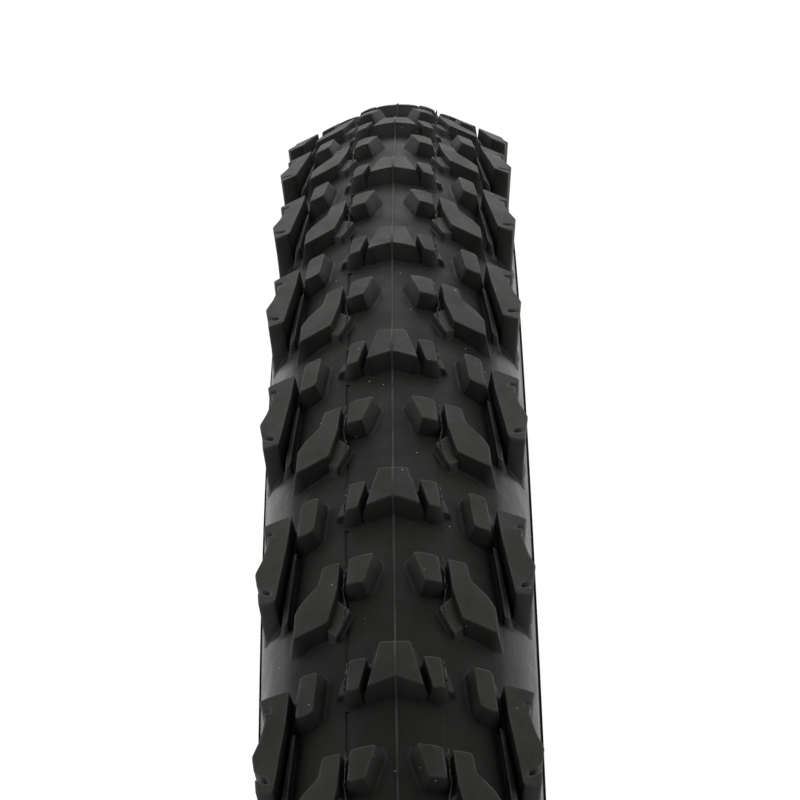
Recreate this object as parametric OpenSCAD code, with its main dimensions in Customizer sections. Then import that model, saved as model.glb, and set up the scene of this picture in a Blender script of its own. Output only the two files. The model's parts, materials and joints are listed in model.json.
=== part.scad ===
// Knobbly off-road bicycle tyre, free of its rim. Wheel centre at the origin,
// wheel axis along Y, travel towards +X, so +Y is the rider's left.

/* [Tyre size] */
// Radius at the knob tops in the middle of the tread
outer_r = 335; // [333:0.5:337]
// Radius of the bead seat, half of the rim's bead seat diameter
bead_seat_r = 279.5; // [279.2:0.1:279.8]
// Height of the knobs in the middle of the tread
crown_knob_h = 3.6; // [2.5:0.1:4.5]
// Radius of the round casing section, over its rubber
section_r = 27.3; // [26.8:0.1:27.8]

/* [Layers] */
// Thickness of the rubber over the casing
skin_t = 1.1; // [0.9:0.05:1.3]
// Thickness of one casing ply
ply_t = 0.55; // [0.4:0.05:0.6]
// Thickness of the breaker belt under the tread
belt_t = 0.5; // [0.3:0.05:0.6]
// Half angle of the breaker belt about the section's centre
belt_angle = 38; // [25:1:45]
// Half angle of the tread rubber about the section's centre
tread_angle = 74; // [73:1:78]

/* [Beads] */
// Radius of the bundle of bead wire
wire_r = 1.5; // [1.2:0.1:1.7]
// Thickness of the chafer strip round the bead
chafer_t = 0.8; // [0.6:0.1:0.9]
// Width of the flat under each bead that sits on the rim
heel_w = 4.4; // [3:0.2:5]
// Angle of the section at which the sidewall turns straight
straight_angle = 125; // [122:1:128]
// Angle between the casing and its turned-up edge
turn_up_angle = 26; // [25:0.5:28]
// Height of the chafer strip on the outside of the bead
chafer_h = 6; // [5:0.5:7]
// Height of the chafer strip on the inside of the bead
toe_h = 4; // [2:0.5:5]

/* [Tread] */
// Number of times that the tread pattern repeats
pitches = 48; // [46:1:50]
// Radius of the crown line over the middle knobs
crown_r = 34.5; // [30:0.5:40]
// Half width of the crown, where the ramp to the shoulders starts
crown_half_w = 7; // [6:0.5:8]
// Slope of the knob tops from the crown to the shoulders
ramp_angle = 24; // [22:0.5:25]
// Half width over the side knobs
tread_half_w = 27; // [26.8:0.1:27.5]
// Height of the low steps beside the knobs
step_h = 1.6; // [1:0.1:2]

/* [Hidden] */
$fn = 256;

tread_colour = [0.20, 0.21, 0.21];
wall_colour = [0.13, 0.14, 0.14];
cord_colour = [0.42, 0.40, 0.34];
steel_colour = [0.62, 0.60, 0.54];

// The casing section: a circle about [centre_r, 0] whose flanks run straight
// from straight_angle down to the beads. Layers lie at constant depths in it,
// and the bead wire presses into them by the nip.
centre_r = outer_r - crown_knob_h - section_r;
ply_outer_r = section_r - skin_t;
ply_middle_r = ply_outer_r - ply_t;
ply_inner_r = ply_middle_r - ply_t;
wrap_r = wire_r + 2 * ply_t;
chafer_r = wrap_r + chafer_t;
nip = 0.08;
wire_line_r = ply_outer_r + wire_r - nip;
bead_gap = 0.1;
wire_centre_r = bead_seat_r + bead_gap + chafer_r;
flank_l = (centre_r + wire_line_r * cos(straight_angle) - wire_centre_r) / sin(straight_angle);
far = 60;

// Unit steps in the section plane: out of the left flank, and down along it
out_dir = [cos(straight_angle), sin(straight_angle)];
down_dir = [-sin(straight_angle), cos(straight_angle)];
up_turn = [
    -cos(turn_up_angle) * down_dir[0] - sin(turn_up_angle) * out_dir[0],
    -cos(turn_up_angle) * down_dir[1] - sin(turn_up_angle) * out_dir[1]
];
out_turn = [
    cos(turn_up_angle) * out_dir[0] - sin(turn_up_angle) * down_dir[0],
    cos(turn_up_angle) * out_dir[1] - sin(turn_up_angle) * down_dir[1]
];

// A point of the left flank, depth r from the centre and d below the last of the circle
function flank(r, d) = [centre_r, 0] + r * out_dir + d * down_dir;
function mirrored(p) = [p[0], -p[1]];

// The same outline on the left, side 1, or the right, side -1, still anticlockwise
function on_side(points, side) =
    side > 0 ? points : [for (i = [len(points) - 1 : -1 : 0]) mirrored(points[i])];

wire_centre = flank(wire_line_r, flank_l);
foot_apex = [centre_r - flank_l / sin(straight_angle), 0];
below_foot = 10;
wedge_h = 18;

// Knob outlines as [across the tread, along it], forwards negative, on the left side.
// The origin of each is the tip of its pitch's chevron.
pitch_angle = 360 / pitches;
chevron = [[0, 0], [5.25, -2], [2.85, 7.8], [-2.85, 7.8], [-5.25, -2]];
wing = [[5.2, 4.5], [8.5, 4.6], [9.2, -2], [6.9, -2.3]];
wing_step = [[8.2, 4.2], [9.1, 3.2], [10.8, -1.6], [8.8, -1.9]];
inner_ramp = [[3.7, 29.3], [8.5, 28.9], [9.1, 22.6], [5.9, 22.3]];
transition = [
    [10.2, 28.8], [13.7, 28.9], [14.5, 24.8], [17.6, 21.9],
    [19, 19.5], [19.3, 13.4], [12.7, 15], [10.9, 22]
];
buttress = [[11.6, 20.5], [10.7, 20.6], [8.4, 17.5], [11, 12], [13.2, 14.6], [13, 17]];
shoulder = [[14.4, 4.3], [17.9, 4.1], [18.8, -5], [15.5, -4.7]];
side = [
    [19.9, 1.9], [24.2, 1.6], [25.3, 0.6], [23.7, -0.6], [24, -1.5], [24.4, -3.5],
    [25.6, -7.7], [tread_half_w, -10.8], [26.7, -15], [24.6, -15.9], [24.8, -17.1],
    [25.9, -17.4], [25.8, -19.1], [22.9, -19.6], [20.6, -5.2]
];

// ---- The casing section ----

// Everything inside the casing line at radius r, past the beads too
module section_inside(r) {
    translate([centre_r, 0]) circle(r);
    polygon([
        flank(r, 0), flank(r, flank_l + below_foot),
        mirrored(flank(r, flank_l + below_foot)), mirrored(flank(r, 0))
    ]);
}

// All of the section above the two beads
module above_beads() {
    polygon([
        foot_apex, mirrored(flank(far, flank_l)), [centre_r + far, -far],
        [centre_r + far, far], flank(far, flank_l)
    ]);
}

// A layer of the casing from depth r1 to depth r0
module layer(r1, r0) {
    intersection() {
        above_beads();
        difference() {
            section_inside(r1);
            section_inside(r0);
        }
    }
}

// The crown side of the section, within half angle a
module crown_sector(a) {
    translate([centre_r, 0]) polygon([
        [0, 0], far * [cos(a), -sin(a)], [far, -far], [far, far], far * [cos(a), sin(a)]
    ]);
}

// The part of the left flank from d0 to d1 above the bead wire
module flank_band(d0, d1) {
    polygon([
        flank(0, flank_l - d0), flank(0, flank_l - d1),
        flank(far, flank_l - d1), flank(far, flank_l - d0)
    ]);
}

// All of the section inside the casing line at radius r, down to the beads
module body(r) {
    intersection() {
        above_beads();
        section_inside(r);
    }
}

// What a layer turned up round a bead at distance r from its wire encloses
module wrapped(r, side = 1) {
    translate(on_side([wire_centre], side)[0]) circle(r);
    difference() {
        polygon(on_side([for (p = [
            -0.8 * wedge_h * down_dir - 3 * wire_r * out_dir, r * out_turn + wedge_h * up_turn,
            r * out_turn, -3 * wire_r * out_dir
        ]) wire_centre + p], side));
        section_inside(ply_outer_r);
    }
}

module wheel_ring() {
    rotate([-90, 0, 0]) rotate_extrude() children();
}

module on_right() {
    mirror([0, 1, 0]) children();
}

// ---- Carcass ----

module casing_ply_outer() {
    color(cord_colour) wheel_ring() difference() {
        union() {
            body(ply_outer_r);
            wrapped(wire_r + ply_t);
            wrapped(wire_r + ply_t, -1);
        }
        body(ply_middle_r);
        wrapped(wire_r);
        wrapped(wire_r, -1);
    }
}

module casing_ply_inner() {
    color(cord_colour) wheel_ring() difference() {
        union() {
            body(ply_middle_r);
            wrapped(wrap_r);
            wrapped(wrap_r, -1);
        }
        layer(ply_outer_r, ply_middle_r);
        body(ply_inner_r);
        wrapped(wire_r + ply_t);
        wrapped(wire_r + ply_t, -1);
    }
}

module breaker_belt() {
    color(cord_colour) wheel_ring() intersection() {
        crown_sector(belt_angle);
        layer(ply_outer_r + belt_t, ply_outer_r);
    }
}

module bead_wire() {
    color(steel_colour) wheel_ring() translate(wire_centre) circle(wire_r);
}

module bead_filler() {
    color(wall_colour) wheel_ring() difference() {
        wrapped(wire_r);
        translate(wire_centre) circle(wire_r);
    }
}

module chafer() {
    color(wall_colour) wheel_ring() difference() {
        union() {
            wrapped(chafer_r);
            translate([bead_seat_r, wire_centre[1] - heel_w / 2]) square([chafer_r, heel_w]);
            intersection() {
                body(ply_inner_r);
                flank_band(0, toe_h);
            }
        }
        layer(ply_outer_r, ply_inner_r);
        body(ply_inner_r - chafer_t);
        wrapped(wrap_r);
        flank_band(chafer_h, far);
    }
}

module sidewall() {
    color(wall_colour) wheel_ring() difference() {
        union() {
            body(section_r);
            wrapped(chafer_r);
        }
        body(ply_outer_r);
        wrapped(wrap_r);
        crown_sector(tread_angle);
        flank_band(-far, chafer_h);
        translate([0, -far]) square([2 * outer_r, far]);
    }
}

// ---- Tread ----

module tread_base() {
    color(tread_colour) wheel_ring() difference() {
        intersection() {
            crown_sector(tread_angle);
            layer(section_r, ply_outer_r);
        }
        intersection() {
            crown_sector(belt_angle);
            body(ply_outer_r + belt_t);
        }
    }
}

// The line of the knob tops: a crown arc, then a straight ramp to each shoulder
ramp_start_r = outer_r - crown_r + sqrt(crown_r ^ 2 - crown_half_w ^ 2);
zone_half_w = tread_half_w + 0.4;
ramp_end_r = ramp_start_r - (zone_half_w - crown_half_w) * tan(ramp_angle);

// The space that the knobs of the left half fill, from the tread base to their tops
module knob_zone() {
    difference() {
        union() {
            intersection() {
                translate([outer_r - crown_r, 0]) circle(crown_r);
                translate([centre_r, -crown_half_w]) square([far, 2 * crown_half_w]);
            }
            polygon([
                [ramp_start_r, crown_half_w], [ramp_end_r, zone_half_w],
                [centre_r + section_r * cos(tread_angle), section_r * sin(tread_angle)],
                [centre_r, crown_half_w]
            ]);
        }
        translate([centre_r, 0]) circle(section_r);
    }
}

// The space of the low steps beside the knobs
module step_zone() {
    difference() {
        translate([centre_r, 0]) circle(section_r + step_h);
        translate([centre_r, 0]) circle(section_r);
        translate([centre_r - far, 0]) square(2 * far, center = true);
    }
}

// One upright block of the given outline on every pitch, through the whole tread
module blocks(outline) {
    middle = (max([for (p = outline) p[1]]) + min([for (p = outline) p[1]])) / 2;
    for (i = [0 : pitches - 1])
        rotate([0, -pitch_angle * i - middle / outer_r * 180 / PI, 0])
            translate([centre_r, 0, 0]) rotate([0, 90, 0])
                linear_extrude(outer_r - centre_r + 1)
                    polygon([for (p = outline) [middle - p[1], p[0]]]);
}

module knobs(outline) {
    intersection() {
        wheel_ring() knob_zone();
        blocks(outline);
    }
}

module steps(outline) {
    intersection() {
        wheel_ring() step_zone();
        blocks(outline);
    }
}

module centre_chevron_knobs() {
    color(tread_colour) knobs(chevron);
}

module wing_knobs() {
    color(tread_colour) {
        knobs(wing);
        steps(wing_step);
    }
}

module inner_ramp_knobs() {
    color(tread_colour) knobs(inner_ramp);
}

module transition_knobs() {
    color(tread_colour) {
        knobs(transition);
        steps(buttress);
    }
}

module shoulder_blocks() {
    color(tread_colour) knobs(shoulder);
}

module side_knobs() {
    color(tread_colour) knobs(side);
}

tread_base();
centre_chevron_knobs();
wing_knobs();  // wing_knobs_left
on_right() wing_knobs();  // wing_knobs_right
inner_ramp_knobs();  // inner_ramp_knobs_left
on_right() inner_ramp_knobs();  // inner_ramp_knobs_right
transition_knobs();  // transition_knobs_left
on_right() transition_knobs();  // transition_knobs_right
shoulder_blocks();  // shoulder_blocks_left
on_right() shoulder_blocks();  // shoulder_blocks_right
side_knobs();  // side_knobs_left
on_right() side_knobs();  // side_knobs_right
sidewall();  // sidewall_left
on_right() sidewall();  // sidewall_right
breaker_belt();
casing_ply_outer();
casing_ply_inner();
bead_wire();  // bead_wire_left
on_right() bead_wire();  // bead_wire_right
bead_filler();  // bead_filler_left
on_right() bead_filler();  // bead_filler_right
chafer();  // chafer_left
on_right() chafer();  // chafer_right
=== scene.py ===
import json
import math
import random

import bpy
import numpy as np
from mathutils import Matrix, Vector
from mathutils.geometry import delaunay_2d_cdt


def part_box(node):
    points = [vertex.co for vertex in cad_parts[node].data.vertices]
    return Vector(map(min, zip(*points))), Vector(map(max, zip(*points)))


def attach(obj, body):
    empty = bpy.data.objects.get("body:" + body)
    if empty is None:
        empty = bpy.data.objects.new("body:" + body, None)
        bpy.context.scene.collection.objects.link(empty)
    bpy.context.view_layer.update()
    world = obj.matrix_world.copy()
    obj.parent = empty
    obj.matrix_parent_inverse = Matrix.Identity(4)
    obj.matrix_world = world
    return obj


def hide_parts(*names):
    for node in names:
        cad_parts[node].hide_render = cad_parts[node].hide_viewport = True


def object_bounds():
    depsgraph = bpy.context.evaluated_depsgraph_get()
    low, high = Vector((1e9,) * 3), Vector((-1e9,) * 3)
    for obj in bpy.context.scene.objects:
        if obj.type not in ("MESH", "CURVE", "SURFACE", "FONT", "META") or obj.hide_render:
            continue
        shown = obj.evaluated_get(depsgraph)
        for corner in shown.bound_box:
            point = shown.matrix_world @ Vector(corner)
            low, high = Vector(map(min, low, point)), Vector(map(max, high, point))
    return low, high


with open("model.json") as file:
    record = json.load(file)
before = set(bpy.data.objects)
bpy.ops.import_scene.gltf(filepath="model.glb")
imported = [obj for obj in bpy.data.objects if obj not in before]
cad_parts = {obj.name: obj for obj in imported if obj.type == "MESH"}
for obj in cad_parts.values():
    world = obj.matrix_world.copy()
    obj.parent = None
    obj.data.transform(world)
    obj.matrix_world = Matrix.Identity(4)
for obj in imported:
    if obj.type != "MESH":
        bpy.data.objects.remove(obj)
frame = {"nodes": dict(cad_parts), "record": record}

cad_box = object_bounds()
scene = bpy.context.scene
MM = 0.001

# ---------------------------------------------------------------- sizes, in mm
# The tyre's axis is Y and its centre is the origin. A place on the tread is (t, s):
# t across from the middle, s along at the outer radius, rising from the front to the top.
outer_r = round(cad_box[1].z / MM, 1)
section_r = round(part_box("sidewall_left")[1].y / MM, 1)
base_r = round(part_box("tread_base")[1].z / MM, 1)
seat_r = frame["record"]["mounts"][0]["dims"]["r_mm"]
centre_r = base_r - section_r
ply_outer_r = round(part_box("casing_ply_outer")[1].y / MM, 2)
tread_angle = math.radians(74)
pitches = 48
pitch_angle = 2 * math.pi / pitches
crown_r = 34.5
ramp_slope = math.tan(math.radians(24))
foot_t = 26.2
base_limit = 27.2
seam_rise = 0.28


# ---------------------------------------------------------------- camera
def make_camera():
    """Stands in front of the tyre and above its centre, looking at the upper tread."""
    distance, aside, rise = 0.9428, 0.0151, math.radians(22.34)
    look_up, look_aside, roll = math.radians(15.976), math.radians(1.1585), math.radians(1.603)
    out = Vector((math.cos(rise), 0, math.sin(rise)))
    up = Vector((-math.sin(rise), 0, math.cos(rise)))
    basis = Matrix(((0, 1, 0), up, -out))
    turn = (
        Matrix.Rotation(roll, 3, "Z")
        @ Matrix.Rotation(look_up, 3, "X")
        @ Matrix.Rotation(look_aside, 3, "Y")
        @ basis
    )
    cam = bpy.data.objects.new("camera", bpy.data.cameras.new("camera"))
    scene.collection.objects.link(cam)
    cam.data.lens = 157.9
    cam.data.clip_start, cam.data.clip_end = 0.01, 50
    pose = Matrix((turn[0], turn[1], -turn[2])).transposed().to_4x4()
    pose.translation = out * distance + Vector((0, aside, 0))
    cam.matrix_world = pose
    scene.camera = cam


make_camera()


# ---------------------------------------------------------------- tyre profile
def smooth_step(x, lo, hi):
    x = np.clip((np.asarray(x, float) - lo) / (hi - lo), 0, 1)
    return x * x * (3 - 2 * x)


def crown_table():
    """Drop of the knob tops below the outer radius: a crown arc that eases into a ramp."""
    t = np.linspace(0, 30, 601)
    arc = t / np.sqrt(crown_r**2 - t**2)
    ease = smooth_step(t, 6, 8)
    slope = arc * (1 - ease) + ramp_slope * ease
    drop = np.concatenate([[0], np.cumsum((slope[1:] + slope[:-1]) / 2 * np.diff(t))])
    return t, drop


crown_t, crown_drop = crown_table()


def top_radius(t, s=None):
    """Radius of the knob tops. It is the same at every s along the tread."""
    return outer_r - seam_rise - np.interp(np.abs(t), crown_t, crown_drop)


def base_radius(t):
    return centre_r + np.sqrt(np.maximum(section_r**2 - np.asarray(t, float) ** 2, 0))


def pulled_in(t):
    """Side knobs' outer walls lean inwards to their foot on the casing."""
    t = np.asarray(t, float)
    start = 24.0
    squeeze = (foot_t - start) / (27.9 - start)
    return np.where(t > start, start + (t - start) * squeeze, t)


# ---------------------------------------------------------------- mesh helpers
def add_mesh(name, points, faces, material, node=None, edges=None, smooth=True):
    """Points are (s, t, r) in mm, wrapped round the wheel. edges is a mask, from -1 at the foot of a knob,
    where shade is painted, through 0 to 1 on an edge, where wear and a painted highlight go."""
    s, t, r = points[:, 0], points[:, 1], points[:, 2]
    angle = s / outer_r
    co = np.stack([r * np.cos(angle), t, r * np.sin(angle)], 1) * MM
    mesh = bpy.data.meshes.new(name)
    mesh.from_pydata(co.tolist(), [], faces)
    mesh.validate()
    mesh.update()
    if smooth:
        mesh.polygons.foreach_set("use_smooth", [True] * len(mesh.polygons))
    wear_light_shade = mesh.attributes.new("edge_wear_highlight_shade", "FLOAT", "POINT")
    wear_light_shade.data.foreach_set("value", np.zeros(len(co), np.float32) if edges is None else edges)
    ob = bpy.data.objects.new(name, mesh)
    scene.collection.objects.link(ob)
    mesh.materials.append(material)
    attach(ob, "root")
    if node:
        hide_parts(node)
    return ob


def crisp(ob, angle=38):
    """Sharp edges over the angle, and normals weighted by area so that flats stay flat."""
    mesh = ob.data
    mesh.set_sharp_from_angle(angle=math.radians(angle))
    mod = ob.modifiers.new("weighted", "WEIGHTED_NORMAL")
    mod.keep_sharp = True
    mod.weight = 60
    return ob


def anticlockwise(outline):
    pts = np.array(outline, float)
    x, y = pts.T
    return pts if np.sum(x * np.roll(y, -1) - np.roll(x, -1) * y) > 0 else pts[::-1].copy()


def rounded(outline, corner=0.45, spacing=1.1, inset=0.0):
    """The outline with each corner as a short arc and its edges divided evenly. With an
    inset, the same points on the outline drawn in by that much."""
    pts = anticlockwise(outline)
    after = np.roll(pts, -1, 0) - pts
    length = np.linalg.norm(after, axis=1)
    way = after / length[:, None]
    normal = np.stack([way[:, 1], -way[:, 0]], 1)
    back = np.roll(normal, 1, 0)
    mitre = (normal + back) / (1 + np.sum(normal * back, 1))[:, None]
    drawn = pts - mitre * inset
    count = len(pts)
    loop = []
    shrink = 1 - 0.5 * min(1, inset / 0.5)

    def corner_cut(before, after):
        return min(corner, 0.32 * before, 0.32 * after) * shrink

    for i in range(count):
        cut = corner_cut(length[i - 1], length[i])
        start, end = drawn[i] - way[i - 1] * cut, drawn[i] + way[i] * cut
        loop += [start, 0.25 * start + 0.5 * drawn[i] + 0.25 * end, end]
        k = (i + 1) % count
        far = drawn[k] - way[i] * corner_cut(length[i], length[k])
        plain = length[i] - 2 * corner
        steps = max(1, int(round(plain / spacing)))
        loop += [end + (far - end) * j / steps for j in range(1, steps)]
    return np.array(loop)


def outward(loop):
    """Unit normals of an anticlockwise loop, and the clear distance in front of each point."""
    tangent = np.roll(loop, -1, 0) - np.roll(loop, 1, 0)
    tangent /= np.linalg.norm(tangent, axis=1)[:, None]
    normal = np.stack([tangent[:, 1], -tangent[:, 0]], 1)
    a, b = loop, np.roll(loop, -1, 0)
    clear = np.full(len(loop), 99.0)
    for i, (p, n) in enumerate(zip(loop, normal)):
        e = b - a
        den = n[0] * e[:, 1] - n[1] * e[:, 0]
        w = a - p
        with np.errstate(divide="ignore", invalid="ignore"):
            far = (w[:, 0] * e[:, 1] - w[:, 1] * e[:, 0]) / den
            along = (w[:, 0] * n[1] - w[:, 1] * n[0]) / den
        hit = (far > 0.05) & (along >= 0) & (along <= 1) & np.isfinite(far)
        if hit.any():
            clear[i] = far[hit].min()
    return normal, clear


def fill(loop, spacing=1.6):
    """Triangles over a loop, with inner points so that the face can curve."""
    lo, hi = loop.min(0), loop.max(0)
    inner = []
    a, b = loop, np.roll(loop, -1, 0)
    rise = np.where(b[:, 1] == a[:, 1], 1, b[:, 1] - a[:, 1])
    for y in np.arange(lo[1] + spacing / 2, hi[1], spacing):
        for x in np.arange(lo[0] + spacing / 2, hi[0], spacing):
            spans = (a[:, 1] > y) != (b[:, 1] > y)
            cross = spans & (x < a[:, 0] + (b[:, 0] - a[:, 0]) * (y - a[:, 1]) / rise)
            if cross.sum() % 2 and np.hypot(*(loop - (x, y)).T).min() > spacing * 0.45:
                inner.append((x, y))
    pts = [Vector(p) for p in [*loop.tolist(), *inner]]
    n = len(loop)
    edges = [(i, (i + 1) % n) for i in range(n)]
    co, _, faces, origin, _, _ = delaunay_2d_cdt(pts, edges, [list(range(n))], 1, 1e-6)
    index = [o[0] if o else -1 for o in origin]
    faces = [[index[v] for v in f] for f in faces]
    faces = [f for f in faces if min(f) >= 0]
    return np.array([tuple(p) for p in pts]), faces


def knob(
    outline, top=top_radius, draft=0.35, lean=(0, 0), fillet=0.7, bevel=0.22, corner=0.45, side=False
):
    """One knob as (points, faces, mask). lean is how far the foot of the front wall and of
    the wall towards the middle stand out further than the others."""
    loop = rounded(outline, corner)
    normal, clear = outward(loop)
    reach = np.minimum(1, 0.42 * clear / (draft + fillet))
    front, inward = np.maximum(0, -normal[:, 1]), np.maximum(0, -normal[:, 0])
    foot = draft + lean[0] * front**1.5 + lean[1] * inward**1.5
    foot = foot * np.minimum(1, 0.42 * clear / np.maximum(foot + fillet, 1e-6))
    round_r = fillet * reach
    rings, masks = [], []

    def add(t, s, r, mask):
        rings.append(np.stack([s, t, r], 1))
        masks.append(np.full(len(loop), mask))

    def foot_ring(offset, height):
        t, s = (loop + normal * offset[:, None]).T
        t = pulled_in(t) if side else t
        add(t, s, base_radius(np.minimum(t, base_limit)) + height, -1)

    def top_ring(inset, drop, mask):
        t, s = rounded(outline, corner, inset=inset).T
        add(t, s, top(t, s) - drop, mask)

    # the mask is -1 on the foot rings, for painted shade at the foot, and 1 on the top bevel, for edge
    # wear and a painted highlight
    foot_ring(foot + round_r, -0.4)
    for a in (0, 30, 60, 90):
        a = math.radians(a)
        foot_ring(foot + round_r * (1 - math.sin(a)), round_r * (1 - math.cos(a)))
    for a in (0, 30, 60, 90):
        a = math.radians(a)
        top_ring(bevel * (1 - math.cos(a)), bevel * (1 - math.sin(a)), 1)
    # the wall is divided so that tall walls keep even faces
    low, high = rings[4], rings[5]
    rings[5:5] = [low + (high - low) * f for f in (0.35, 0.7, 0.93)]
    # the painted shade at the foot fades out up the wall
    masks[5:5] = [masks[0] * f for f in (0.75, 0.4, 0.1)]
    # a faint trace of the edge wear and painted highlight just inside the bevel
    top_ring(bevel + 0.2, 0, 0.15)

    count = len(loop)
    faces = []
    for j in range(len(rings) - 1):
        for i in range(count):
            k = (i + 1) % count
            faces.append([j * count + i, j * count + k, (j + 1) * count + k, (j + 1) * count + i])
    last = (len(rings) - 1) * count
    cap, triangles = fill(rings[-1][:, [1, 0]])
    inner = cap[count:]
    if len(inner):
        t, s = inner.T
        rings.append(np.stack([s, t, top(t, s)], 1))
        masks.append(np.zeros(len(inner)))
    faces += [[last + v for v in f] for f in triangles]
    faces.append(list(range(count))[::-1])
    return np.concatenate(rings), faces, np.concatenate(masks)


def combined(*parts):
    """Several (points, faces, mask) parts as one."""
    points, faces, masks, start = [], [], [], 0
    for p, f, m in parts:
        points.append(p)
        masks.append(m)
        faces += [[v + start for v in face] for face in f]
        start += len(p)
    return np.concatenate(points), faces, np.concatenate(masks)


def flipped(part):
    p, f, m = part
    p = p * (1, -1, 1)
    return p, [face[::-1] for face in f], m


def all_round(part):
    """The part on every pitch of the tread."""
    p, f, m = part
    step = pitch_angle * outer_r
    return combined(*[(p + (step * i, 0, 0), f, m) for i in range(pitches)])


def ring_part(profile, segments=576):
    """A closed (t, r) profile turned once round the wheel."""
    profile = np.array(profile, float)
    t, r = profile.T
    if np.sum(t * np.roll(r, -1) - np.roll(t, -1) * r) > 0:
        profile = profile[::-1]
    count = len(profile)
    s = np.arange(segments) * 2 * math.pi * outer_r / segments
    points = np.concatenate([np.column_stack([np.full(count, v), profile]) for v in s])
    faces = []
    for j in range(segments):
        k = (j + 1) % segments
        for i in range(count):
            n = (i + 1) % count
            faces.append([j * count + i, j * count + n, k * count + n, k * count + i])
    return points, faces, np.zeros(len(points))


# ---------------------------------------------------------------- materials
class Nodes:
    """A material's node tree, with short calls for the nodes used here."""

    def __init__(self, name):
        self.material = bpy.data.materials.new(name)
        self.material.use_nodes = True
        self.tree = self.material.node_tree
        self.shader = self.tree.nodes["Principled BSDF"]

    def node(self, kind, **inputs):
        n = self.tree.nodes.new(kind)
        for key, value in inputs.items():
            self.set(n.inputs[key.replace("_", " ")], value)
        return n

    def set(self, socket, value):
        if isinstance(value, bpy.types.NodeSocket):
            self.tree.links.new(value, socket)
        else:
            socket.default_value = value

    def place(self, scale=(1, 1, 1)):
        """Along the tread, across it and out of it, in metres times the scale."""
        x, y, z = self.node("ShaderNodeSeparateXYZ", Vector=self.body()).outputs
        along = self.maths("MULTIPLY", self.maths("ARCTAN2", z, x), outer_r * MM)
        squares = self.maths("ADD", self.maths("MULTIPLY", x, x), self.maths("MULTIPLY", z, z))
        out = self.maths("SQRT", squares, 0)
        placed = self.node("ShaderNodeCombineXYZ", X=along, Y=y, Z=out)
        m = self.node("ShaderNodeVectorMath", Vector=placed.outputs["Vector"])
        m.operation = "MULTIPLY"
        m.inputs[1].default_value = scale
        return m.outputs["Vector"]

    def body(self):
        return self.node("ShaderNodeTexCoord").outputs["Object"]

    def noise(self, vector, scale, detail=4.0, rough=0.55):
        return self.node(
            "ShaderNodeTexNoise", Vector=vector, Scale=scale, Detail=detail, Roughness=rough
        ).outputs["Fac"]

    def remap(self, value, lo, hi, to_lo, to_hi):
        n = self.node("ShaderNodeMapRange", Value=value)
        n.inputs["From Min"].default_value, n.inputs["From Max"].default_value = lo, hi
        n.inputs["To Min"].default_value, n.inputs["To Max"].default_value = to_lo, to_hi
        return n.outputs["Result"]

    def maths(self, kind, a, b):
        n = self.node("ShaderNodeMath")
        n.operation = kind
        self.set(n.inputs[0], a)
        self.set(n.inputs[1], b)
        return n.outputs[0]

    def mix(self, factor, a, b):
        n = self.node("ShaderNodeMix")
        n.data_type = "RGBA"
        self.set(n.inputs["Factor"], factor)
        self.set(n.inputs["A"], (*a, 1) if isinstance(a, tuple) else a)
        self.set(n.inputs["B"], (*b, 1) if isinstance(b, tuple) else b)
        return n.outputs["Result"]

    def bump(self, height, strength, distance, normal=None):
        n = self.node("ShaderNodeBump", Height=height, Strength=strength, Distance=distance)
        if normal:
            self.set(n.inputs["Normal"], normal)
        return n.outputs["Normal"]

    def finish(self, colour, roughness, normal, specular=0.5):
        self.set(self.shader.inputs["Base Color"], colour)
        self.set(self.shader.inputs["Roughness"], roughness)
        self.set(self.shader.inputs["Normal"], normal)
        self.shader.inputs["Specular IOR Level"].default_value = specular
        return self.material


def shade(colour, tone):
    return tuple(c * tone for c in colour)


dark_rubber = (0.0165, 0.0174, 0.0146)
pale_rubber = (0.0240, 0.0252, 0.0214)
# painted shade: the tread base is the knobs' rubber darkened by this tone, for the shade of the knobs
# around it
shaded_base_tone = 0.66


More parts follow.
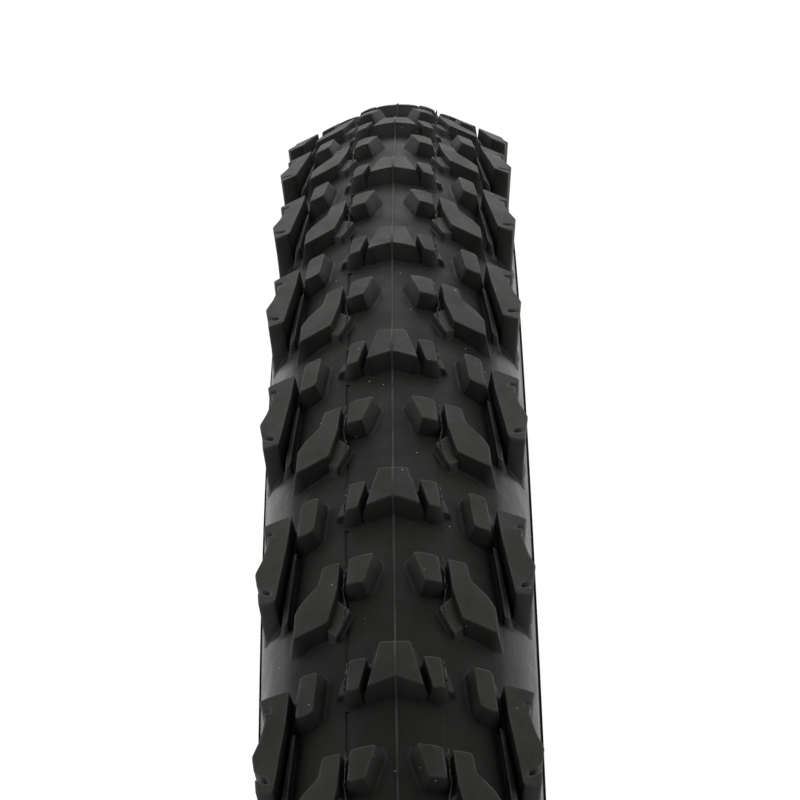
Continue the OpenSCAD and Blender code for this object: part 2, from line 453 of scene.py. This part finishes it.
def tread_rubber(name, tone=1.0, glossy_from=None, specular=0.3):
    """Matte moulded rubber: cloudy charcoal, paler on edges with wear and a painted highlight, darker at
    the feet of knobs with painted shade, and with specks of dust.
    Past glossy_from, in mm from the middle, it is as smooth as the sidewall."""
    m = Nodes(name)
    at = m.body()
    clouds = m.noise(at, 55, 3)
    grain = m.noise(at, 900, 3, 0.6)
    cloudy = m.remap(clouds, 0.3, 0.7, 0, 1)
    colour = m.mix(cloudy, shade(dark_rubber, tone), shade(pale_rubber, tone))
    colour = m.mix(m.remap(grain, 0.35, 0.75, 0, 0.3), colour, shade((0.036, 0.0375, 0.033), tone))
    wear_light_shade = m.node("ShaderNodeAttribute")
    wear_light_shade.attribute_name = "edge_wear_highlight_shade"
    # edge wear and a painted highlight: the top edges of knobs are mixed towards a paler grey
    wear_and_highlight = m.maths("MAXIMUM", wear_light_shade.outputs["Fac"], 0.0)
    patchy = m.maths("MULTIPLY", wear_and_highlight, m.remap(m.noise(at, 260, 2), 0.35, 0.65, 0.2, 1))
    colour = m.mix(m.maths("MULTIPLY", patchy, 0.5), colour, (0.085, 0.088, 0.083))
    # painted shade: the feet of knobs and their lower walls are mixed down to the base's darker tone
    foot = m.maths("MAXIMUM", m.maths("MULTIPLY", wear_light_shade.outputs["Fac"], -1.0), 0.0)
    foot_shade_colour = m.mix(cloudy, shade(dark_rubber, shaded_base_tone), shade(pale_rubber, shaded_base_tone))
    colour = m.mix(foot, colour, foot_shade_colour)
    cell = m.node("ShaderNodeTexVoronoi", Vector=at, Scale=340.0)
    speck = m.remap(cell.outputs["Distance"], 0.035, 0.06, 1, 0)
    sparse = m.remap(m.noise(at, 90, 1), 0.50, 0.54, 0, 1)
    dust = m.maths("MULTIPLY", speck, sparse)
    colour = m.mix(dust, colour, (0.42, 0.42, 0.40))
    rough = m.remap(m.noise(at, 160, 3), 0.3, 0.7, 0.56, 0.70)
    if glossy_from:
        across = m.node("ShaderNodeSeparateXYZ", Vector=m.place()).outputs["Y"]
        past = m.remap(m.maths("ABSOLUTE", across, 0), glossy_from * MM, (glossy_from + 2) * MM, 0, 1)
        rough = m.maths("SUBTRACT", rough, m.maths("MULTIPLY", past, 0.32))
    normal = m.bump(m.noise(at, 1500, 3, 0.65), 0.35, 0.00012)
    normal = m.bump(m.noise(at, 140, 2), 0.35, 0.0006, normal)
    return m.finish(colour, rough, normal, specular)


def sidewall_rubber():
    """Smooth moulded rubber with a soft gloss and faint rings from the mould."""
    m = Nodes("sidewall_rubber_gloss")
    at = m.body()
    clouds = m.noise(at, 40, 3)
    colour = m.mix(m.remap(clouds, 0.3, 0.7, 0, 1), (0.018, 0.0195, 0.0185), (0.027, 0.029, 0.0275))
    streaks = m.noise(m.place((6, 900, 900)), 1.0, 2)
    rough = m.remap(m.noise(at, 120, 3), 0.3, 0.7, 0.34, 0.46)
    normal = m.bump(streaks, 0.12, 0.0001)
    normal = m.bump(m.noise(at, 1100, 2), 0.10, 0.0001, normal)
    return m.finish(colour, rough, normal, 0.36)


def matte_line():
    """The textured line that runs round the widest part of each sidewall."""
    m = Nodes("sidewall_line_matte")
    at = m.body()
    colour = m.mix(m.noise(at, 60, 3), (0.008, 0.008, 0.008), (0.013, 0.013, 0.013))
    rough = m.remap(m.noise(at, 500, 2), 0.3, 0.7, 0.8, 0.95)
    return m.finish(colour, rough, m.bump(m.noise(at, 1800, 2), 0.5, 0.0002), 0.06)


def cord_fabric(name, colour_a, colour_b, angle=45, pitch=0.0009):
    """Parallel cords under a skin of rubber, slanting across the casing."""
    m = Nodes(name)
    n = m.node("ShaderNodeVectorRotate", Vector=m.place())
    n.rotation_type = "Z_AXIS"
    n.inputs["Angle"].default_value = math.radians(angle)
    wave = m.node("ShaderNodeTexWave", Vector=n.outputs["Vector"], Scale=1 / pitch / (2 * math.pi) * 2)
    wave.bands_direction = "X"
    wave.inputs["Distortion"].default_value = 0.4
    wave.inputs["Detail"].default_value = 1.0
    ridges = wave.outputs["Fac"]
    at = m.body()
    tone = m.maths("MULTIPLY", ridges, m.remap(m.noise(at, 300, 3), 0.3, 0.7, 0.6, 1))
    colour = m.mix(tone, colour_a, colour_b)
    rough = m.remap(m.noise(at, 200, 2), 0.3, 0.7, 0.55, 0.72)
    return m.finish(colour, rough, m.bump(ridges, 0.6, 0.00025), 0.4)


def chafer_cloth():
    """Rubber marked by the cloth that it was cured against."""
    m = Nodes("chafer_rubber_cloth")
    place = m.place((1, 1, 1))
    weave = None
    for axis in ("X", "Y"):
        wave = m.node("ShaderNodeTexWave", Vector=place, Scale=420.0)
        wave.bands_direction = axis
        threads = wave.outputs["Fac"]
        weave = threads if weave is None else m.maths("MULTIPLY", weave, threads)
    at = m.body()
    clouds = m.remap(m.noise(at, 70, 3), 0.3, 0.7, 0, 1)
    colour = m.mix(clouds, (0.030, 0.030, 0.030), (0.048, 0.049, 0.048))
    rough = m.remap(m.noise(at, 300, 2), 0.3, 0.7, 0.5, 0.68)
    return m.finish(colour, rough, m.bump(weave, 0.5, 0.0002), 0.4)


def bead_steel():
    """Bronze-plated drawn wire."""
    m = Nodes("bead_wire_bronze")
    at = m.body()
    clouds = m.remap(m.noise(at, 200, 3), 0.35, 0.65, 0, 1)
    colour = m.mix(clouds, (0.50, 0.36, 0.21), (0.62, 0.49, 0.33))
    m.shader.inputs["Metallic"].default_value = 1.0
    rough = m.remap(m.noise(at, 400, 2), 0.3, 0.7, 0.28, 0.42)
    drawing_lines = m.noise(m.place((8, 3000, 3000)), 1.0, 2)
    return m.finish(colour, rough, m.bump(drawing_lines, 0.2, 0.00005))


tread_mat = tread_rubber("tread_rubber_matte")
# the base rubber is darkened with painted shade, and its edge past 19.5 mm is smoother
base_mat = tread_rubber("tread_base_rubber", shaded_base_tone, 19.5, 0.2)
# painted highlight and dust: the flash is the same rubber five times paler, for glints on its thin fins
# and the dust on them
flash_mat = tread_rubber("tread_flash_rubber", 5.0)
wall_mat = sidewall_rubber()
line_mat = matte_line()
casing_mat = cord_fabric("casing_cord_rubbered", (0.018, 0.018, 0.017), (0.060, 0.058, 0.053))
belt_mat = cord_fabric("breaker_cord_rubbered", (0.16, 0.13, 0.08), (0.36, 0.31, 0.21), -45, 0.0012)
chafer_mat = chafer_cloth()
steel_mat = bead_steel()


# ---------------------------------------------------------------- tread
chevron = [(0, 0), (5.25, -2), (2.85, 7.8), (-2.85, 7.8), (-5.25, -2)]
wing = [(5.2, 4.5), (8.5, 4.6), (9.2, -2), (6.9, -2.3)]
wing_step = [(8.2, 4.2), (9.1, 3.2), (10.8, -1.6), (8.8, -1.9)]
inner_ramp = [(3.7, 29.3), (8.5, 28.9), (9.1, 22.6), (5.9, 22.3)]
transition = [
    (10.2, 28.8), (13.7, 28.9), (14.5, 24.8), (17.6, 21.9),
    (19, 19.5), (19.3, 13.4), (12.7, 15), (10.9, 22),
]
buttress = [(11.6, 20.5), (10.7, 20.6), (8.4, 17.5), (11, 12), (13.2, 14.6), (13, 17)]
shoulder = [(14.4, 4.3), (17.9, 4.1), (18.8, -5), (15.5, -4.7)]
shoulder_rib = [(18.9, -7), (19.6, -7.2), (21.5, -19.5), (21.7, -23.2), (20.6, -23.5), (20.3, -19.5)]
side = [
    (19.9, 1.9), (24.2, 1.6), (25.7, 1.3), (25.2, -0.4), (23.7, -1.1), (23.4, -2.1), (24.9, -1.6),
    (24.5, -3.5), (25.6, -7.7), (27, -10.8), (26.6, -14.1), (25.5, -15.5), (24.0, -16.6),
    (23.7, -17.6), (24.7, -17.3), (26.4, -15.8), (26.2, -19.1), (22.9, -19.6), (20.6, -5.2),
]


def step_top(height):
    """A knob top that follows the tread base at a height above it."""
    return lambda t, s: base_radius(t) + height


def tread_row(name, part, node, sides=("_left", "_right")):
    """One kind of knob all round the tyre, as a piece for each side or one in the middle."""
    for side_name in sides:
        points, faces, masks = all_round(flipped(part) if side_name == "_right" else part)
        ob = add_mesh(name + side_name, points, faces, tread_mat, node + side_name, masks)
        crisp(ob)


tread_row("centre_chevrons", knob(chevron, lean=(1.7, 0)), "centre_chevron_knobs", [""])
tread_row(
    "wings",
    combined(knob(wing, lean=(1.5, 0)), knob(wing_step, step_top(1.6), fillet=0.4)),
    "wing_knobs",
)
tread_row("inner_ramps", knob(inner_ramp, lean=(1.2, 1.1)), "inner_ramp_knobs")
tread_row(
    "transitions",
    combined(knob(transition, lean=(1.2, 0.3)), knob(buttress, step_top(1.7), fillet=0.6)),
    "transition_knobs",
)
tread_row(
    "shoulders",
    combined(knob(shoulder, lean=(1.4, 1.2), corner=0.9), knob(shoulder_rib, step_top(3.0), fillet=0.4)),
    "shoulder_blocks",
)
tread_row("side_lugs", knob(side, side=True, lean=(0.8, 0.3)), "side_knobs")


def flash(path, tall, rng, lift=0.0, thick=0.09, step=0.45):
    """A ragged fin of flash along a (t, s) path, standing on the knob tops' level."""
    pts = np.array(path, float)
    run = np.concatenate([[0], np.cumsum(np.hypot(*np.diff(pts, axis=0).T))])
    at = np.arange(0, run[-1], step)
    t, s = np.interp(at, run, pts[:, 0]), np.interp(at, run, pts[:, 1])
    rise = [tall * rng.random() ** 2 if rng.random() < 0.75 else 0.02 for _ in at]
    sway = [0.35 * (rng.random() - 0.5) for _ in at]
    foot = top_radius(t) - lift
    rows = []
    for i in range(len(at)):
        low, high = foot[i] - 0.3, foot[i] + rise[i]
        rows += [(s[i], t[i] - thick, low), (s[i], t[i] + sway[i], high), (s[i], t[i] + thick, low)]
    faces = []
    for i in range(len(at) - 1):
        a, b = 3 * i, 3 * i + 3
        for k in range(3):
            n = (k + 1) % 3
            faces.append([a + k, a + n, b + n, b + k])
    faces += [[0, 1, 2][::-1], [3 * len(at) - 3, 3 * len(at) - 2, 3 * len(at) - 1]]
    # every point of a fin gets the full edge wear and painted highlight
    return np.array(rows), faces, np.ones(len(rows))


def flash_row(side_name):
    """Flash where the mould's inserts meet, different on every pitch."""
    rng = random.Random(11 if side_name == "left" else 23)
    parts = []
    for i in range(pitches):
        p, f, m = combined(
            flash([(9.35, 28.9), (9.5, 25.5), (9.6, 22.4)], 0.9, rng, 0.3),
            flash([(9.0, 4.9), (9.3, 2.0), (9.6, -1.7)], 0.8, rng, 0.9),
            flash([(9.9, 23.5), (9.3, 19.0), (9.7, 15.0)], 0.7, rng, 1.3),
        )
        parts.append((p + (i * pitch_angle * outer_r, 0, 0), f, m))
    part = combined(*parts)
    points, faces, masks = part if side_name == "left" else flipped(part)
    name = f"mould_flash_{side_name}"
    add_mesh(name, points, faces, flash_mat, None, masks, smooth=False)


for where in ("left", "right"):
    flash_row(where)


# ---------------------------------------------------------------- rings
def arc(radius, start, end, steps):
    """Points (t, r) of the casing section at a radius, between two angles from the crown."""
    a = np.radians(np.linspace(start, end, steps))
    return [(radius * math.sin(x), centre_r + radius * math.cos(x)) for x in a]


def seam_strip():
    """The thin ridge that the mould's two halves leave along the middle."""
    half, rise = 0.36, seam_rise
    tall = outer_r - seam_rise - base_r
    path = [
        (-9, 0), (-3.1, 0), (-2.2, 0.35), (-0.4, tall - 0.4), (0.1, tall), (7.5, tall),
        (7.9, tall - 0.3), (8.3, 0.4), (9.0, 0), (22, 0), (34.9, 0),
    ]
    section = [
        (-half, -0.2), (-half * 0.5, rise * 0.8), (0, rise), (half * 0.5, rise * 0.8), (half, -0.2),
    ]
    points = np.array([(s, t, base_r + h + up) for s, h in path for t, up in section], float)
    n = len(section)
    faces = []
    for j in range(len(path) - 1):
        for i in range(n - 1):
            faces.append([(j + 1) * n + i, (j + 1) * n + i + 1, j * n + i + 1, j * n + i])
    # the seam ridge gets most of the edge wear and painted highlight
    return points, faces, np.full(len(points), 0.9)


def tread_base():
    """The band under the knobs, with the seam ridge and two fine mould lines."""
    edge = math.degrees(tread_angle)
    shaped = arc(section_r, -edge, edge, 75)
    for line_t, depth, half in ((-9.0, 0.3, 0.5), (9.0, 0.1, 0.4)):
        shaped = [p for p in shaped if abs(p[0] - line_t) > half + 0.1]
        for aside, d in ((-half, 0), (-half * 0.4, depth), (half * 0.4, depth), (half, 0)):
            t = line_t + aside
            shaped.append((t, float(base_radius(t)) - d))
    shaped.sort()
    inner = arc(ply_outer_r, edge, -edge, 31)
    points, faces, masks = ring_part(shaped + inner)
    crisp(add_mesh("tread_band", points, faces, base_mat, "tread_base", masks))
    points, faces, masks = all_round(seam_strip())
    add_mesh("mould_seam", points, faces, tread_mat, None, masks)


tread_base()


# ---------------------------------------------------------------- sidewalls, carried-over parts
straight = math.radians(125)
out_dir = np.array([math.sin(straight), math.cos(straight)])
down_dir = np.array([math.cos(straight), -math.sin(straight)])
wire_r = 1.5
nip = 0.08
chafer_out = 3.4
wire_line = ply_outer_r + wire_r - nip
wire_at_r = seat_r + 0.1 + chafer_out
flank_l = (centre_r + wire_line * math.cos(straight) - wire_at_r) / math.sin(straight)


def flank(radius, down):
    """(t, r) on the left flank at a depth radius, a distance below the round part."""
    return tuple(np.array([0, centre_r]) + radius * out_dir + down * down_dir)


def eased(points, steps=4):
    """The same line with its corners rounded off, by Chaikin's rule."""
    pts = np.array(points, float)
    for _ in range(steps):
        a, b = pts[:-1], pts[1:]
        cut = np.stack([0.75 * a + 0.25 * b, 0.25 * a + 0.75 * b], 1).reshape(-1, 2)
        pts = np.concatenate([pts[:1], cut, pts[-1:]])
    return [tuple(p) for p in pts]


def sidewall(where):
    """The rubber from the tread's edge down to the chafer."""
    edge = math.degrees(tread_angle)
    # the wall dips a little on both sides of a flat moulded line at its widest
    dip = 0.45
    line_from, line_to = 87.3, 92.7
    ribbed = []
    line = (line_from - 0.4, line_from, line_to, line_to + 0.4)
    for a in (*np.arange(edge, line_from, 1.1), *line, *np.arange(94, 112.1, 1.5)):
        sunk = dip * smooth_step(a, 75, 81) * (1 - smooth_step(a, 99, 106))
        if line_from <= a <= line_to:
            sunk = 0
        ribbed += arc(section_r - float(sunk), a, a, 1)
    lower = [
        flank(section_r, -3.2), flank(section_r + 0.05, -1.6), flank(section_r + 0.35, -1.3),
        flank(section_r + 0.35, -0.7), flank(section_r + 0.1, -0.4), flank(section_r + 0.6, flank_l - 6.4),
        flank(section_r + 1.05, flank_l - 6.0),
    ]
    inner = [flank(ply_outer_r + 0.7, flank_l - 6.0), flank(ply_outer_r, flank_l - 9.5)]
    inner += arc(ply_outer_r, 125, edge, 30)
    points, faces, masks = ring_part(ribbed + eased(lower, 2) + inner)
    if where == "right":
        points, faces, masks = flipped((points, faces, masks))
    node = f"sidewall_{where}"
    ob = add_mesh(f"wall_{where}", points, faces, wall_mat, node, masks)
    ob.data.materials.append(line_mat)
    for face in ob.data.polygons:
        if abs(face.center.y) > (section_r - dip + 0.1) * MM:
            face.material_index = 1
    return crisp(ob)


for where in ("left", "right"):
    sidewall(where)

for node, material in (
    ("casing_ply_outer", casing_mat), ("casing_ply_inner", casing_mat), ("breaker_belt", belt_mat),
    ("chafer_left", chafer_mat), ("chafer_right", chafer_mat),
    ("bead_filler_left", wall_mat), ("bead_filler_right", wall_mat),
    ("bead_wire_left", steel_mat), ("bead_wire_right", steel_mat),
):
    for slot in frame["nodes"][node].material_slots:
        slot.material = material


# ---------------------------------------------------------------- studio
def soft_surround():
    """Even light: bright behind, overhead and at both sides, dark in front and below."""
    world = bpy.data.worlds.new("studio")
    scene.world = world
    world.use_nodes = True
    tree = world.node_tree
    way = tree.nodes.new("ShaderNodeTexCoord")
    apart = tree.nodes.new("ShaderNodeSeparateXYZ")
    tree.links.new(way.outputs["Generated"], apart.inputs["Vector"])
    x, y, z = apart.outputs

    def maths(kind, a, b):
        n = tree.nodes.new("ShaderNodeMath")
        n.operation = kind
        for socket, value in zip(n.inputs, (a, b)):
            if isinstance(value, bpy.types.NodeSocket):
                tree.links.new(value, socket)
            else:
                socket.default_value = value
        return n.outputs[0]

    level = maths("MULTIPLY", x, -0.80)
    level = maths("ADD", level, maths("MULTIPLY", z, 0.45))
    level = maths("ADD", level, maths("MULTIPLY", maths("ABSOLUTE", y, 0), 0.80))
    ramp = tree.nodes.new("ShaderNodeMapRange")
    ramp.interpolation_type = "SMOOTHSTEP"
    ramp.inputs["From Min"].default_value, ramp.inputs["From Max"].default_value = -0.22, 0.78
    ramp.inputs["To Min"].default_value, ramp.inputs["To Max"].default_value = 0.03, 1.03
    tree.links.new(level, ramp.inputs["Value"])
    back = tree.nodes["Background"]
    back.inputs["Color"].default_value = (1, 1, 1, 1)
    tree.links.new(ramp.outputs["Result"], back.inputs["Strength"])


def overhead_lamp():
    at, aim = Vector((-0.9, 0.0, 1.5)), Vector((0.15, 0, 0.25))
    lamp = bpy.data.objects.new("key_overhead", bpy.data.lights.new("key_overhead", "AREA"))
    lamp.data.shape, lamp.data.size, lamp.data.energy = "DISK", 1.2, 6
    scene.collection.objects.link(lamp)
    lamp.location = at
    lamp.rotation_euler = (aim - at).to_track_quat("-Z", "Y").to_euler()


def floor():
    """A plain pale disc that the tyre stands on."""
    radius, sides = 1.5, 96
    z = cad_box[0].z - 0.002
    rim = [
        (radius * math.cos(a), radius * math.sin(a), z)
        for a in np.linspace(0, 2 * math.pi, sides + 1)[:-1]
    ]
    mesh = bpy.data.meshes.new("studio_floor")
    mesh.from_pydata(rim, [], [list(range(sides))])
    ob = bpy.data.objects.new("studio_floor", mesh)
    scene.collection.objects.link(ob)
    m = Nodes("studio_floor_white")
    tone = m.remap(m.noise(m.body(), 3, 2), 0.3, 0.7, 0.82, 0.86)
    both = m.node("ShaderNodeCombineColor", Red=tone, Green=tone, Blue=tone)
    normal = m.bump(m.noise(m.body(), 400, 2), 0.05, 0.0002)
    mesh.materials.append(m.finish(both.outputs["Color"], 0.8, normal))


scene.view_settings.view_transform = "Standard"
soft_surround()
overhead_lamp()
floor()
